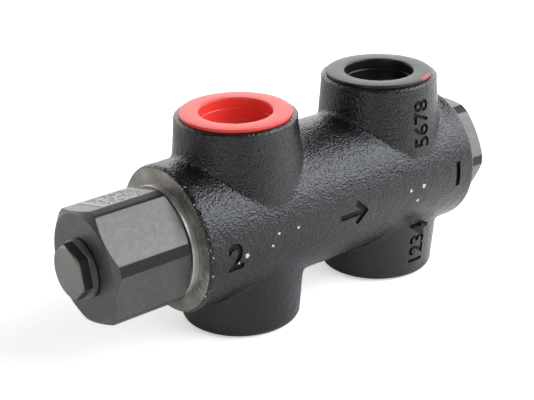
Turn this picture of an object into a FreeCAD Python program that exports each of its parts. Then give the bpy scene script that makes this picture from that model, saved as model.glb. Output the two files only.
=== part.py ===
import FreeCAD, Part
import math
import os
from FreeCAD import Vector

# In-line flow control valve, millimetres, +Z up.
# The origin is under the middle of the valve's length, on the plane of the lower port faces. The valve's
# own axis runs along X at AXIS_HEIGHT, with the spring cap towards -X.

# Casting
PORT_SPACING = 56.0
AXIS_HEIGHT = 31.75
BODY_R = 22.0
T_END_OVERHANG = 26.3
P_END_OVERHANG = 22.0
T_END_RIM_R = 1.2
P_END_RIM_R = 2.0
BOSS_FACE_R = 17.9
BOSS_DRAFT_DEG = 5.0
UPPER_FACE_EDGE_R = 0.9
LOWER_FACE_EDGE_R = 1.8
BOSS_ROOT_R = 2.0

# G 3/4 ports, and the galleries that they open into
PORT_R = 12.06
PORT_THREAD_DEPTH = 15.0
PORT_CHAMFER = 1.2
PORT_DRILL_R = 11.0
GALLERY_R = 14.5
GALLERY_HALF = 11.0

# Spool bore and the two M27x2 end threads, at their pitch radius
BORE_R = 10.03
END_THREAD_R = 12.85
THREAD_GAP = 0.02

# Bonded seals under the two hexagons
SEAL_THICK = 2.0
SEAL_R = 16.5
SEAL_METAL_BORE_R = 14.4
SEAL_LIP_BORE_R = 13.0

# Hexagons of the spring cap and of the end plug
HEX_AF = 32.0
HEX_TURNED_R = 17.7
HEX_CHAMFER_DEG = 30.0
HEX_FACE_R = 15.4
CAP_BACK_FACE_R = 15.1
CAP_HEX_LENGTH = 24.9
CAP_FLAT_ANGLE = 44.8
CAP_NOSE_LENGTH = 14.8
CAP_FLOOR = 5.0
END_HEX_LENGTH = 7.3
END_FLAT_ANGLE = 30.0
END_STUB_LENGTH = 12.0

# Signal port plug in the spring cap, M12x1.5
SIGNAL_THREAD_R = 5.6
SIGNAL_STUB_LENGTH = 7.5
SIGNAL_COLLAR_R = 8.5
SIGNAL_COLLAR_THICK = 1.7
SIGNAL_HEX_AF = 14.2
SIGNAL_HEX_HEIGHT = 3.3
SIGNAL_FACE_R = 7.0
SIGNAL_FLAT_ANGLE = 73.2
SIGNAL_SEAL_THICK = 0.6
SIGNAL_SEAL_R = 8.0

# Spool, with its places along X counted from its spring end
SPOOL_R = 10.0
STOP_GAP = 0.05
SPOOL_LEFT_FROM_T = -23.0
WAIST_R = 8.0
WAIST_START = 13.0
WAIST_LENGTH = 19.5
FLOW_BORE_R = 7.0
FLOW_BORE_START = 36.0
INLET_HOLE_R = 4.5
INLET_HOLE_COUNT = 4
METER_HOLE_R = 2.25
METER_HOLE_AT = 38.5
METER_HOLE_COUNT = 6
GROOVE_WIDTH = 0.5
GROOVES_AT = (49.0, 54.0, 59.0)
PILOT_BORE_R = 4.0
PILOT_BORE_DEPTH = 24.0
DRAIN_HOLE_R = 1.25
DRAIN_HOLE_AT = 17.0
DRAIN_HOLE_COUNT = 2
SIGNAL_HOLE_OFFSET = 5.5
SIGNAL_HOLE_R = 0.55
JET_R = 1.4
JET_LENGTH = 3.0
JET_HOLE_R = 0.4
JET_SLOT_DEPTH = 0.8
JET_SLOT_WIDTH = 0.5

# Control spring, its seat and its shims
SEAT_PLATE_R = 9.6
SEAT_PLATE_THICK = 2.0
SEAT_HUB_R = 5.6
SEAT_HUB_LENGTH = 2.0
SEAT_BORE_R = 2.5
SEAT_VENT_R = 1.0
SPRING_MEAN_R = 7.2
SPRING_WIRE = 2.0
SPRING_TURNS = 5.5
SHIM_R = 9.5
SHIM_BORE_R = 6.1
SHIM_THICK = 0.5
SHIM_COUNT = 2

# Pilot relief stage inside the spool
PILOT_SEAT_LENGTH = 6.0
PILOT_SEAT_HOLE_R = 1.0
PILOT_SOCKET_AF = 3.0
PILOT_SOCKET_DEPTH = 2.5
POPPET_R = 3.0
POPPET_CONE_DEG = 30.0
POPPET_BODY_LENGTH = 2.0
POPPET_STEM_R = 1.5
POPPET_STEM_LENGTH = 3.0
PILOT_SPRING_MEAN_R = 2.3
PILOT_SPRING_WIRE = 0.8
PILOT_SPRING_TURNS = 5.0
PILOT_SHIM_R = 3.7
PILOT_SHIM_BORE_R = 1.2
PILOT_SHIM_THICK = 0.4
PILOT_SHIM_COUNT = 2

# Shipping plugs in the two upper ports
SHIP_FLANGE_R = 16.3
SHIP_FLANGE_THICK = 0.9
SHIP_SKIRT_R = 11.7
SHIP_SKIRT_BORE_R = 10.4
SHIP_RIB_R = 12.0
SHIP_RIB_COUNT = 3
SHIP_RIB_PITCH = 3.5
SHIP_RIB_HEIGHT = 1.0
SHIP_MOUTH_R = 10.7
SHIP_STEP_DEPTH = 3.2
SHIP_CUP_R = 10.3
SHIP_CUP_DEPTH = 7.0
SHIP_DEPTH = 12.0
SHIP_FLOOR = 1.2
SHIP_LIP_ROUND = 0.5
GATE_R = 0.8
GATE_HEIGHT = 1.8

# Printed label on the spring cap
LABEL_WIDTH = 14.8
LABEL_LENGTH = 16.6
LABEL_THICK = 0.1
LABEL_FROM_SEAL = 2.4

# Places along X worked out from the sizes above
CAP_SIDE = SEAL_THICK + CAP_HEX_LENGTH + SIGNAL_COLLAR_THICK + SIGNAL_HEX_HEIGHT
END_SIDE = SEAL_THICK + END_HEX_LENGTH
OVERALL = CAP_SIDE + T_END_OVERHANG + PORT_SPACING + P_END_OVERHANG + END_SIDE
X_P = OVERALL / 2 - END_SIDE - P_END_OVERHANG
X_T = X_P - PORT_SPACING
BODY_LEFT = X_T - T_END_OVERHANG
BODY_RIGHT = X_P + P_END_OVERHANG
CAP_SHOULDER = BODY_LEFT - SEAL_THICK
CAP_END = CAP_SHOULDER - CAP_HEX_LENGTH
CAP_NOSE = BODY_LEFT + CAP_NOSE_LENGTH
CAP_FLOOR_X = CAP_END + CAP_FLOOR
END_SHOULDER = BODY_RIGHT + SEAL_THICK
END_FACE = END_SHOULDER + END_HEX_LENGTH
END_NOSE = BODY_RIGHT - END_STUB_LENGTH
SPOOL_LEFT = X_T + SPOOL_LEFT_FROM_T
SPOOL_RIGHT = END_NOSE - STOP_GAP
FLOW_BORE_X = SPOOL_LEFT + FLOW_BORE_START
PILOT_BORE_X = SPOOL_LEFT + PILOT_BORE_DEPTH
TOP_FACE = 2 * AXIS_HEIGHT
ALONG_X = Vector(1, 0, 0)


def on_axis(x, y=0.0, z=0.0):
    """A point measured from the valve's axis."""
    return Vector(x, y, AXIS_HEIGHT + z)


def rod(x_from, x_to, radius):
    """A round bar on the valve's axis."""
    return Part.makeCylinder(radius, x_to - x_from, on_axis(x_from), ALONG_X)


def tube(x_from, x_to, outer, inner):
    """A round tube on the valve's axis."""
    return rod(x_from, x_to, outer).cut(rod(x_from - 1, x_to + 1, inner))


def turned(outline):
    """A solid turned about the valve's axis from (x, radius) corners."""
    corners = [on_axis(x, 0, radius) for x, radius in outline]
    face = Part.Face(Part.makePolygon(corners + corners[:1]))
    return face.revolve(on_axis(0), ALONG_X, 360)


def post(x, z_from, z_to, radius):
    """A round bar along Z on a port's axis."""
    return Part.makeCylinder(radius, z_to - z_from, Vector(x, 0, z_from))


def flat_direction(degrees):
    """The way that a flat faces, turned from -Y towards +Z."""
    turn = math.radians(degrees)
    return Vector(0, -math.cos(turn), math.sin(turn))


def hexagon_bar(x_from, x_to, across_flats, flat_angle):
    """A hexagon bar along the valve's axis."""
    corner_r = across_flats / 2 / math.cos(math.radians(30))
    corners = []
    for step in range(6):
        way = flat_direction(flat_angle + 30 + 60 * step)
        corners.append(on_axis(x_from) + way * corner_r)
    face = Part.Face(Part.makePolygon(corners + corners[:1]))
    return face.extrude(Vector(x_to - x_from, 0, 0))


def chamfered_hexagon(x_root, x_end, across_flats, turned_r, root_r, face_r, flat_angle):
    """A hexagon with turned corners, chamfered down to root_r at x_root and to face_r at x_end."""
    slope = math.copysign(math.tan(math.radians(HEX_CHAMFER_DEG)), x_root - x_end)
    x_root_corner = x_root - (turned_r - root_r) * slope
    x_end_corner = x_end + (turned_r - face_r) * slope
    outline = [(x_root, 0), (x_root, root_r)]
    if root_r < turned_r:
        outline.append((x_root_corner, turned_r))
    outline += [(x_end_corner, turned_r), (x_end, face_r), (x_end, 0)]
    bar = hexagon_bar(min(x_root, x_end), max(x_root, x_end), across_flats, flat_angle)
    return bar.common(turned(outline))


def around_axis(shape, count):
    """Copies of a shape, evenly spaced about the valve's axis."""
    copies = []
    for step in range(count):
        copy = shape.copy()
        copy.rotate(on_axis(0), ALONG_X, 360 * step / count)
        copies.append(copy)
    return copies


def cross_drill(x, radius):
    """A drill from the valve's axis out through its side."""
    return Part.makeCylinder(radius, BODY_R, on_axis(x), Vector(0, 0, 1))


def coil(x_from, x_to, mean_r, wire, turns):
    """A round-wire compression spring, with its outermost wire on x_from and x_to."""
    pitch = (x_to - x_from - wire) / turns
    path = Part.makeHelix(pitch, pitch * turns, mean_r)
    section = Part.Wire(Part.Circle(Vector(mean_r, 0, 0), Vector(0, 1, 0), wire / 2).toShape())
    spring = Part.Wire(path).makePipeShell([section], True, True)
    spring.rotate(Vector(0, 0, 0), Vector(0, 1, 0), 90)
    spring.translate(on_axis(x_from + wire / 2))
    return spring


def boss(x, upwards):
    """One port boss: a cone that widens from its face to the valve's axis."""
    root_r = BOSS_FACE_R + AXIS_HEIGHT * math.tan(math.radians(BOSS_DRAFT_DEG))
    way = Vector(0, 0, 1 if upwards else -1)
    return Part.makeCone(root_r, BOSS_FACE_R, AXIS_HEIGHT, on_axis(x), way)


def rough_casting():
    """The casting's outside, with its rims and boss roots rounded."""
    barrel = rod(BODY_LEFT, BODY_RIGHT, BODY_R)
    barrel = barrel.makeFillet(T_END_RIM_R, flat_edges_at(barrel, "X", BODY_LEFT))
    barrel = barrel.makeFillet(P_END_RIM_R, flat_edges_at(barrel, "X", BODY_RIGHT))
    for x in (X_T, X_P):
        for upwards in (True, False):
            barrel = barrel.fuse(boss(x, upwards))
    barrel = barrel.removeSplitter()
    roots = [edge for edge in barrel.Edges if is_boss_root(edge)]
    barrel = barrel.makeFillet(BOSS_ROOT_R, roots)
    barrel = barrel.makeFillet(UPPER_FACE_EDGE_R, flat_edges_at(barrel, "Z", TOP_FACE))
    return barrel.makeFillet(LOWER_FACE_EDGE_R, flat_edges_at(barrel, "Z", 0.0))


def flat_edges_at(shape, axis, place):
    """The edges that lie in the plane at one place along X or Z."""
    found = []
    for edge in shape.Edges:
        box = edge.BoundBox
        low = getattr(box, axis + "Min")
        high = getattr(box, axis + "Max")
        if abs(low - place) < 1e-6 and abs(high - place) < 1e-6:
            found.append(edge)
    return found


def is_boss_root(edge):
    """True for an edge where a boss meets the barrel."""
    box = edge.BoundBox
    between_ends = box.XMin > BODY_LEFT + T_END_RIM_R and box.XMax < BODY_RIGHT - P_END_RIM_R
    between_faces = box.ZMin > LOWER_FACE_EDGE_R and box.ZMax < TOP_FACE - UPPER_FACE_EDGE_R
    return between_ends and between_faces and box.ZLength > 1 and box.XLength > 1


def port_cutter(x, upwards):
    """What is drilled from one port face down to its gallery."""
    way = 1 if upwards else -1
    face_z = TOP_FACE if upwards else 0.0
    mouth_r = PORT_R + PORT_CHAMFER
    outline = [
        (0, 0),
        (0, mouth_r),
        (PORT_CHAMFER, PORT_R),
        (PORT_THREAD_DEPTH + PORT_CHAMFER, PORT_R),
        (PORT_THREAD_DEPTH + PORT_CHAMFER, PORT_DRILL_R),
        (AXIS_HEIGHT, PORT_DRILL_R),
        (AXIS_HEIGHT, 0),
    ]
    corners = [Vector(x + radius, 0, face_z - way * depth) for depth, radius in outline]
    face = Part.Face(Part.makePolygon(corners + corners[:1]))
    return face.revolve(Vector(x, 0, 0), Vector(0, 0, 1), 360)


def valve_body():
    body = rough_casting()
    for x in (X_T, X_P):
        for upwards in (True, False):
            body = body.cut(port_cutter(x, upwards))
        body = body.cut(rod(x - GALLERY_HALF, x + GALLERY_HALF, GALLERY_R))
    body = body.cut(rod(BODY_LEFT - 1, X_T, END_THREAD_R))
    body = body.cut(rod(X_P, BODY_RIGHT + 1, END_THREAD_R))
    return body.cut(rod(X_T, X_P, BORE_R))


def spring_cap():
    head = chamfered_hexagon(
        CAP_SHOULDER, CAP_END, HEX_AF, HEX_TURNED_R, CAP_BACK_FACE_R, HEX_FACE_R, CAP_FLAT_ANGLE
    )
    spigot = rod(CAP_SHOULDER, CAP_NOSE, END_THREAD_R - THREAD_GAP)
    chamber = rod(CAP_FLOOR_X, CAP_NOSE + 1, BORE_R)
    signal_port = rod(CAP_END - 1, CAP_FLOOR_X + 1, SIGNAL_THREAD_R)
    return head.fuse(spigot).cut(chamber).cut(signal_port).removeSplitter()


def end_plug():
    head = chamfered_hexagon(
        END_SHOULDER, END_FACE, HEX_AF, HEX_TURNED_R, HEX_TURNED_R, HEX_FACE_R, END_FLAT_ANGLE
    )
    stub = rod(END_NOSE, END_SHOULDER, END_THREAD_R - THREAD_GAP)
    return head.fuse(stub).removeSplitter()


def seal_ring(x_from):
    return tube(x_from, x_from + SEAL_THICK, SEAL_R, SEAL_METAL_BORE_R)


def seal_lip(x_from):
    """The rubber lip, which narrows towards its bore."""
    x_to = x_from + SEAL_THICK
    taper = SEAL_THICK / 5
    outer = SEAL_METAL_BORE_R
    inner = SEAL_LIP_BORE_R
    return turned([(x_from, outer), (x_to, outer), (x_to - taper, inner), (x_from + taper, inner)])


def signal_plug():
    collar_end = CAP_END - SIGNAL_COLLAR_THICK
    face = collar_end - SIGNAL_HEX_HEIGHT
    corner_r = SIGNAL_HEX_AF / 2 / math.cos(math.radians(30))
    head = chamfered_hexagon(
        collar_end, face, SIGNAL_HEX_AF, corner_r, corner_r, SIGNAL_FACE_R, SIGNAL_FLAT_ANGLE
    )
    collar = rod(collar_end, CAP_END - SIGNAL_SEAL_THICK, SIGNAL_COLLAR_R)
    stub_end = CAP_END + SIGNAL_STUB_LENGTH
    stub = rod(CAP_END - SIGNAL_SEAL_THICK, stub_end, SIGNAL_THREAD_R - THREAD_GAP)
    return head.fuse(collar).fuse(stub).removeSplitter()


def signal_plug_seal():
    return tube(CAP_END - SIGNAL_SEAL_THICK, CAP_END, SIGNAL_SEAL_R, SIGNAL_THREAD_R)


def control_spool():
    spool = rod(SPOOL_LEFT, SPOOL_RIGHT, SPOOL_R)
    waist_left = SPOOL_LEFT + WAIST_START
    spool = spool.cut(tube(waist_left, waist_left + WAIST_LENGTH, SPOOL_R + 1, WAIST_R))
    for place in GROOVES_AT:
        x = SPOOL_LEFT + place
        spool = spool.cut(tube(x, x + GROOVE_WIDTH, SPOOL_R + 1, SPOOL_R - GROOVE_WIDTH))
    spool = spool.cut(rod(FLOW_BORE_X, SPOOL_RIGHT + 1, FLOW_BORE_R))
    spool = spool.cut(rod(SPOOL_LEFT - 1, PILOT_BORE_X, PILOT_BORE_R))
    holes = around_axis(cross_drill(X_P, INLET_HOLE_R), INLET_HOLE_COUNT)
    holes += around_axis(cross_drill(SPOOL_LEFT + METER_HOLE_AT, METER_HOLE_R), METER_HOLE_COUNT)
    holes += around_axis(cross_drill(SPOOL_LEFT + DRAIN_HOLE_AT, DRAIN_HOLE_R), DRAIN_HOLE_COUNT)
    for hole in holes:
        spool = spool.cut(hole)
    signal_hole = offset_rod(SPOOL_LEFT - 1, FLOW_BORE_X, SIGNAL_HOLE_R)
    return spool.cut(signal_hole).cut(jet_envelope())


def offset_rod(x_from, x_to, radius):
    """A round bar on the line of the signal drilling, beside the spool's own axis."""
    return Part.makeCylinder(radius, x_to - x_from, on_axis(x_from, -SIGNAL_HOLE_OFFSET), ALONG_X)


def jet_envelope():
    return offset_rod(FLOW_BORE_X - JET_LENGTH, FLOW_BORE_X, JET_R)


def spool_orifice():
    """The damping jet: a slotted grub screw with a fine hole."""
    hole = offset_rod(FLOW_BORE_X - JET_LENGTH - 1, FLOW_BORE_X + 1, JET_HOLE_R)
    slot = Part.makeBox(JET_SLOT_DEPTH, 2 * JET_R, JET_SLOT_WIDTH)
    slot.translate(on_axis(FLOW_BORE_X - JET_SLOT_DEPTH, -SIGNAL_HOLE_OFFSET - JET_R, -JET_SLOT_WIDTH / 2))
    return jet_envelope().cut(hole).cut(slot)


def spring_seat():
    plate = tube(SPOOL_LEFT - SEAT_PLATE_THICK, SPOOL_LEFT, SEAT_PLATE_R, SEAT_BORE_R)
    hub_left = SPOOL_LEFT - SEAT_PLATE_THICK - SEAT_HUB_LENGTH
    hub = tube(hub_left, SPOOL_LEFT - SEAT_PLATE_THICK, SEAT_HUB_R, SEAT_BORE_R)
    vent = offset_rod(hub_left - 1, SPOOL_LEFT + 1, SEAT_VENT_R)
    return plate.fuse(hub).removeSplitter().cut(vent)


def control_spring():
    x_from = CAP_FLOOR_X + SHIM_COUNT * SHIM_THICK
    return coil(x_from, SPOOL_LEFT - SEAT_PLATE_THICK, SPRING_MEAN_R, SPRING_WIRE, SPRING_TURNS)


def shim_stack(x_from, count, thick, outer, inner):
    """Separate flat rings laid face to face."""
    shims = []
    for step in range(count):
        x = x_from + step * thick
        shims.append(tube(x, x + thick, outer, inner))
    return Part.makeCompound(shims)


def spring_shims():
    return shim_stack(CAP_FLOOR_X, SHIM_COUNT, SHIM_THICK, SHIM_R, SHIM_BORE_R)


def pilot_seat():
    right = SPOOL_LEFT + PILOT_SEAT_LENGTH
    plug = tube(SPOOL_LEFT, right, PILOT_BORE_R, PILOT_SEAT_HOLE_R)
    return plug.cut(hexagon_bar(SPOOL_LEFT, SPOOL_LEFT + PILOT_SOCKET_DEPTH, PILOT_SOCKET_AF, 0))


def poppet_cone_base():
    """Where the cone reaches its full radius, with STOP_GAP left at the seat's edge."""
    rise = POPPET_R - PILOT_SEAT_HOLE_R
    return SPOOL_LEFT + PILOT_SEAT_LENGTH + rise / math.tan(math.radians(POPPET_CONE_DEG)) + STOP_GAP


def poppet_shoulder():
    return poppet_cone_base() + POPPET_BODY_LENGTH


def pilot_poppet():
    base = poppet_cone_base()
    tip = base - POPPET_R / math.tan(math.radians(POPPET_CONE_DEG))
    shoulder = poppet_shoulder()
    stem_end = shoulder + POPPET_STEM_LENGTH
    return turned([(tip, 0), (base, POPPET_R), (shoulder, POPPET_R), (shoulder, POPPET_STEM_R),
                   (stem_end, POPPET_STEM_R), (stem_end, 0)])


def pilot_spring():
    x_from = poppet_shoulder() + STOP_GAP
    x_to = PILOT_BORE_X - PILOT_SHIM_COUNT * PILOT_SHIM_THICK
    return coil(x_from, x_to, PILOT_SPRING_MEAN_R, PILOT_SPRING_WIRE, PILOT_SPRING_TURNS)


def pilot_shims():
    x_from = PILOT_BORE_X - PILOT_SHIM_COUNT * PILOT_SHIM_THICK
    return shim_stack(x_from, PILOT_SHIM_COUNT, PILOT_SHIM_THICK, PILOT_SHIM_R, PILOT_SHIM_BORE_R)


def shipping_plug(x):
    """A plastic cup with a flange and a ribbed skirt, pushed into an upper port."""
    flange_top = TOP_FACE + SHIP_FLANGE_THICK
    bottom = TOP_FACE - SHIP_DEPTH
    floor = flange_top - SHIP_CUP_DEPTH
    plug = post(x, TOP_FACE, flange_top, SHIP_FLANGE_R).fuse(post(x, bottom, TOP_FACE, SHIP_SKIRT_R))
    for step in range(SHIP_RIB_COUNT):
        rib_bottom = bottom + SHIP_RIB_HEIGHT + SHIP_RIB_PITCH * step
        plug = plug.fuse(post(x, rib_bottom, rib_bottom + SHIP_RIB_HEIGHT, SHIP_RIB_R))
    plug = plug.removeSplitter()
    plug = plug.cut(post(x, flange_top - SHIP_STEP_DEPTH, flange_top, SHIP_MOUTH_R))
    plug = plug.cut(post(x, floor, flange_top, SHIP_CUP_R))
    plug = plug.cut(post(x, bottom, floor - SHIP_FLOOR, SHIP_SKIRT_BORE_R))
    lip = [edge for edge in flat_edges_at(plug, "Z", flange_top) if edge.BoundBox.XLength < 2 * SHIP_SKIRT_R]
    plug = plug.makeFillet(SHIP_LIP_ROUND, lip)
    return plug.fuse(post(x, floor, floor + GATE_HEIGHT, GATE_R)).removeSplitter()


def cap_label():
    """A thin plate on the flat that is next to the top."""
    out = flat_direction(CAP_FLAT_ANGLE + 60)
    across = ALONG_X.cross(out)
    corner = on_axis(CAP_SHOULDER - LABEL_FROM_SEAL) + out * (HEX_AF / 2) - across * (LABEL_WIDTH / 2)
    along = ALONG_X * -LABEL_LENGTH
    corners = [corner, corner + along, corner + along + across * LABEL_WIDTH, corner + across * LABEL_WIDTH]
    face = Part.Face(Part.makePolygon(corners + corners[:1]))
    return face.extrude(out * LABEL_THICK)


NODES = {
    "valve_body": valve_body(),
    "spring_cap": spring_cap(),
    "cap_seal_ring": seal_ring(CAP_SHOULDER),
    "cap_seal_lip": seal_lip(CAP_SHOULDER),
    "cap_label": cap_label(),
    "signal_plug": signal_plug(),
    "signal_plug_seal": signal_plug_seal(),
    "end_plug": end_plug(),
    "end_seal_ring": seal_ring(BODY_RIGHT),
    "end_seal_lip": seal_lip(BODY_RIGHT),
    "control_spool": control_spool(),
    "spool_orifice": spool_orifice(),
    "spring_seat": spring_seat(),
    "control_spring": control_spring(),
    "spring_shims": spring_shims(),
    "pilot_seat": pilot_seat(),
    "pilot_poppet": pilot_poppet(),
    "pilot_spring": pilot_spring(),
    "pilot_shims": pilot_shims(),
    "red_port_plug": shipping_plug(X_T),
    "black_port_plug": shipping_plug(X_P),
}

os.makedirs("parts", exist_ok=True)
for name, shape in NODES.items():
    solids = len(shape.Solids)
    print(name, "solids", solids, "valid", shape.isValid(), "volume", round(shape.Volume, 1))
    shape.exportStep("parts/" + name + ".step")
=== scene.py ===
import math
import bpy
from mathutils import Matrix, Quaternion, Vector


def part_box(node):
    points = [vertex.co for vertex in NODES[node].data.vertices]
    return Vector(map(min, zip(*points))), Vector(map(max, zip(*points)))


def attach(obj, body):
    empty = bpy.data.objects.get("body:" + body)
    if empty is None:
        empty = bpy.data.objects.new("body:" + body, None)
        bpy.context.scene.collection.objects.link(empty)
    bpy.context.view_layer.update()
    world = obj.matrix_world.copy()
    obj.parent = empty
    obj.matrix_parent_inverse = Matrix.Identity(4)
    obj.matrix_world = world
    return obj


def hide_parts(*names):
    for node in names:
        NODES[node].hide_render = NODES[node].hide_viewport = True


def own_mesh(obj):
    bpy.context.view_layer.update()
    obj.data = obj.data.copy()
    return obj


# Looks of the in-line flow control valve, in metres, in the frame of its CAD model. Sizes are written in
# millimetres times MM. Places come from the CAD nodes' own boxes.
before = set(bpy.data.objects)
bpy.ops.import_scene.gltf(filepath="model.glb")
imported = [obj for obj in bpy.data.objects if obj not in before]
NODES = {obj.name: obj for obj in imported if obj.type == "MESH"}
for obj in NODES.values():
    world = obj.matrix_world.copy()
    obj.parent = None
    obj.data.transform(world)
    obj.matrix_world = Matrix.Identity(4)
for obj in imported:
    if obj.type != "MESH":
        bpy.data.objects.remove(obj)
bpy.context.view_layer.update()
MM = 0.001


def middle(node):
    low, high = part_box(node)
    return (low + high) / 2


# Places read from the CAD nodes
BODY_LOW, BODY_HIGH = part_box("valve_body")
CAP_LOW, CAP_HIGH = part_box("spring_cap")
END_LOW, END_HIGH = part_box("end_plug")
CAP_RING_LOW, CAP_RING_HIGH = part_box("cap_seal_ring")
END_RING_LOW, END_RING_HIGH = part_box("end_seal_ring")
SIGNAL_LOW, SIGNAL_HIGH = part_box("signal_plug")
SPRING_LOW, SPRING_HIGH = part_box("control_spring")
PILOT_LOW, PILOT_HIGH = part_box("pilot_spring")
LABEL_LOW, LABEL_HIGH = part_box("cap_label")
AXIS_Z = middle("control_spool").z
X_T = middle("red_port_plug").x
X_P = middle("black_port_plug").x
TOP_FACE = BODY_HIGH.z
BARREL_R = BODY_HIGH.y

# Casting
BOSS_FACE_R = 17.9 * MM
BOSS_DRAFT = math.radians(5)
UPPER_RIM = 0.9 * MM
LOWER_RIM = 1.8 * MM
FAR_END_RIM = 2.0 * MM
NEAR_END_RIM = 1.8 * MM
NEAR_END_CUT = 0.3 * MM
FACING_ALLOWANCE = 0.3 * MM
BOSS_ROOT = 2.0 * MM
SKIN_VOXEL = 0.6 * MM
FLAT_MARGIN = 0.5 * MM
SKIN_FADE = 1.5 * MM
MARK_DEPTH = 0.75 * MM
MARK_HALF = 1.2 * MM
BARREL_FIGURE = 11 * MM
BOSS_FIGURE = 7.6 * MM
BOSS_STROKE = 0.18 * MM

# Bores of the casting
PORT_R = 12.06 * MM
PORT_THREAD_R = 13.1 * MM
PORT_PITCH = 1.81 * MM
PORT_THREAD_END = 16.2 * MM
PORT_CHAMFER = 1.2 * MM
PORT_DRILL_R = 11.0 * MM
GALLERY_R = 14.5 * MM
GALLERY_HALF = 11.0 * MM
BORE_R = 10.03 * MM
END_THREAD_R = 12.85 * MM
END_BORE_CHAMFER = 0.8 * MM
THREAD_LEAD = 1 * MM
OVERCUT = 1 * MM

# Hexagons
HEX_AF = 32.0 * MM
HEX_TURNED_R = 17.7 * MM
HEX_FACE_R = 15.4 * MM
CAP_BACK_FACE_R = 15.1 * MM
HEX_CHAMFER = math.radians(30)
CAP_FLAT = 44.8
END_FLAT = 30.0
CAP_FLOOR = 5.0 * MM
DIMPLE_R = 2.6 * MM
DIMPLE_DEPTH = 1.2 * MM
SIGNAL_THREAD_R = 5.6 * MM
SIGNAL_AF = 14.2 * MM
SIGNAL_FACE_R = 7.0 * MM
SIGNAL_FLAT = 73.2
SIGNAL_COLLAR_R = 8.5 * MM
SIGNAL_COLLAR_TOP = 1.7 * MM
SIGNAL_SEAL_THICK = 0.6 * MM
EDGE_BREAK = 0.16 * MM
SIGNAL_EDGE_BREAK = 0.25 * MM

# Seal rings and springs
SEAL_RING_BORE_R = 14.4 * MM
SEAL_RING_ROLL = 0.14 * MM
CONTROL_WIRE = 2.0 * MM
CONTROL_TURNS = 5.5
PILOT_WIRE = 0.8 * MM
PILOT_TURNS = 5.0

# Shipping plugs
FLANGE_R = 16.3 * MM
FLANGE_THICK = 0.9 * MM
SKIRT_R = 11.7 * MM
SKIRT_BORE_R = 10.4 * MM
RIB_R = 12.0 * MM
RIB_HEIGHT = 1.0 * MM
RIB_PITCH = 3.5 * MM
RIB_COUNT = 3
MOUTH_R = 10.7 * MM
STEP_DEPTH = 3.2 * MM
CUP_R = 10.3 * MM
CUP_DEPTH = 7.0 * MM
PLUG_DEPTH = 12.0 * MM
PLUG_FLOOR = 1.2 * MM
GATE_R = 0.8 * MM
GATE_HEIGHT = 1.8 * MM

# Label
LABEL_CORNER = 0.7 * MM
LABEL_THICK = 0.09 * MM
LABEL_MARGIN = 0.1 * MM
LABEL_CELL = 0.55 * MM
LABEL_PRINT_LENGTH = 13.0 * MM
LABEL_PRINT_WIDTH = 13.2 * MM

# Steps in a full turn of the round pieces and springs
FINE_STEPS = 128
COARSE_STEPS = 64
COIL_STEPS = 36
WIRE_SIDES = 14


# -------------------------------------------------- modelling

def pick(piece):
    """Makes one piece the only selected object."""
    bpy.ops.object.select_all(action="DESELECT")
    piece.select_set(True)
    bpy.context.view_layer.objects.active = piece


def start_vertex(name):
    """A new mesh object in edit mode with a single vertex at the origin."""
    bpy.ops.object.select_all(action="DESELECT")
    bpy.ops.mesh.primitive_plane_add(size=1 * MM, location=(0, 0, 0))
    piece = bpy.context.object
    piece.name = name
    piece.data.name = name
    bpy.ops.object.mode_set(mode="EDIT")
    bpy.ops.mesh.select_mode(type="VERT")
    bpy.ops.mesh.select_all(action="SELECT")
    bpy.ops.mesh.merge(type="CENTER")
    return piece


def draw_line(points):
    """Moves the start vertex to the first point and extrudes it through the others."""
    bpy.ops.transform.translate(value=points[0])
    for before, after in zip(points, points[1:]):
        bpy.ops.mesh.extrude_vertices_move(TRANSFORM_OT_translate={"value": after - before})


def turned(name, outline, axis="X", x=0.0, steps=FINE_STEPS):
    """Spins an outline of (place along the axis, radius) corners about the valve's axis or a port's axis.
    The outline starts and ends on the axis, or comes back to its first corner."""
    piece = start_vertex(name)
    if axis == "X":
        points = [Vector((along, 0, AXIS_Z + radius)) for along, radius in outline]
        centre = Vector((0, 0, AXIS_Z))
        way = (1, 0, 0)
    else:
        points = [Vector((x + radius, 0, along)) for along, radius in outline]
        centre = Vector((x, 0, 0))
        way = (0, 0, 1)
    draw_line(points)
    bpy.ops.mesh.select_all(action="SELECT")
    bpy.ops.mesh.spin(steps=steps, angle=2 * math.pi, center=centre, axis=way)
    close_up()
    bpy.ops.object.mode_set(mode="OBJECT")
    return piece


def close_up():
    """Merges the seam and the poles, and turns every face outwards."""
    bpy.ops.mesh.select_all(action="SELECT")
    bpy.ops.mesh.remove_doubles(threshold=0.002 * MM)
    bpy.ops.mesh.normals_make_consistent(inside=False)


def arc(along, radius, bend, start, end, count=5):
    """Corners on a round stretch, with its centre at (along, radius) and angles from the axis direction."""
    corners = []
    for step in range(count + 1):
        turn = math.radians(start + (end - start) * step / count)
        corners.append((along + bend * math.cos(turn), radius + bend * math.sin(turn)))
    return corners


def boolean(piece, tool, operation):
    """Applies a boolean and removes the tool. Cut faces keep the tool's material."""
    modifier = piece.modifiers.new("boolean", "BOOLEAN")
    modifier.object = tool
    modifier.operation = operation
    modifier.solver = "EXACT"
    modifier.material_mode = "TRANSFER"
    pick(piece)
    bpy.ops.object.modifier_apply(modifier=modifier.name)
    bpy.data.objects.remove(tool, do_unlink=True)
    return piece


def break_edges(piece, width=EDGE_BREAK, segments=2, limit=18):
    """Rounds the sharp edges a little."""
    modifier = piece.modifiers.new("edge break", "BEVEL")
    modifier.width = width
    modifier.segments = segments
    modifier.limit_method = "ANGLE"
    modifier.angle_limit = math.radians(limit)
    pick(piece)
    bpy.ops.object.modifier_apply(modifier=modifier.name)
    return piece


def smooth(piece, limit=32):
    pick(piece)
    bpy.ops.object.shade_smooth_by_angle(angle=math.radians(limit))
    return piece


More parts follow.
